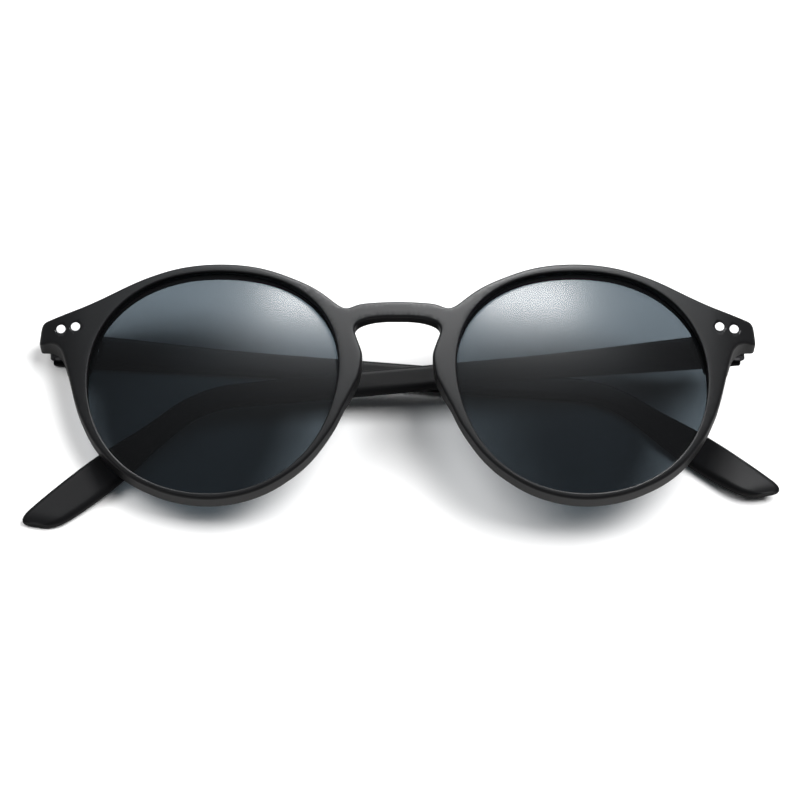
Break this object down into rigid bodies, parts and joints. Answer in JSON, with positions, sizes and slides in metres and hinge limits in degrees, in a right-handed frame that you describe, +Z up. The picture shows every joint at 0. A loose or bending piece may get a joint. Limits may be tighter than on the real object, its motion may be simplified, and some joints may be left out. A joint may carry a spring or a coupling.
{
  "type": "round sunglasses",
  "caption": "Round keyhole-bridge sunglasses with dark tinted lenses, riveted endpieces and two hinged arms, lying folded on a table.",
  "frame": {"origin": "on the table, under the middle of the folded glasses' bounding box", "axes": "+X across the front towards the wearer's left, +Y from the lower rims towards the brow along the table, +Z up from the table, out of the lenses"},
  "size_m": [0.1464, 0.051, 0.0265],
  "materials": {
    "black_plastic": "satin black acetate",
    "tinted_lens": "dark grey tint, polished",
    "hinge": "dark plated steel",
    "screw": "bright steel",
    "rivet": "bright, filed flush",
    "core_wire": "drawn wire"
  },
  "bodies": {
    "front": {"front_frame": "black_plastic", "lens_left": "tinted_lens", "lens_right": "tinted_lens", "front_hinge_left": "hinge", "front_hinge_right": "hinge", "hinge_screw_left": "screw", "hinge_screw_right": "screw", "front_rivet_inner_left": "rivet", "front_rivet_outer_left": "rivet", "front_rivet_inner_right": "rivet", "front_rivet_outer_right": "rivet"},
    "arm_left": {"temple_left": "black_plastic", "core_wire_left": "core_wire", "temple_hinge_left": "hinge", "temple_rivet_near_left": "rivet", "temple_rivet_far_left": "rivet"},
    "arm_right": {"temple_right": "black_plastic", "core_wire_right": "core_wire", "temple_hinge_right": "hinge", "temple_rivet_near_right": "rivet", "temple_rivet_far_right": "rivet"}
  },
  "joints": [
    {"name": "arm_right_hinge", "type": "hinge", "parent": "front", "child": "arm_right", "pos_m": [-0.06794, 0.01585, 0.00334], "axis": [0, 0.9875, 0.1576], "range_deg": [0, 85.6]},
    {"name": "arm_left_hinge", "type": "hinge", "parent": "front", "child": "arm_left", "pos_m": [0.0648, 0.0141, 0.01435], "axis": [0, -0.9875, -0.1576], "range_deg": [0, 92.2]}
  ],
  "couplings": [
    {"joint": "arm_left_hinge", "follows": "arm_right_hinge", "ratio": 1.0771}
  ]
}
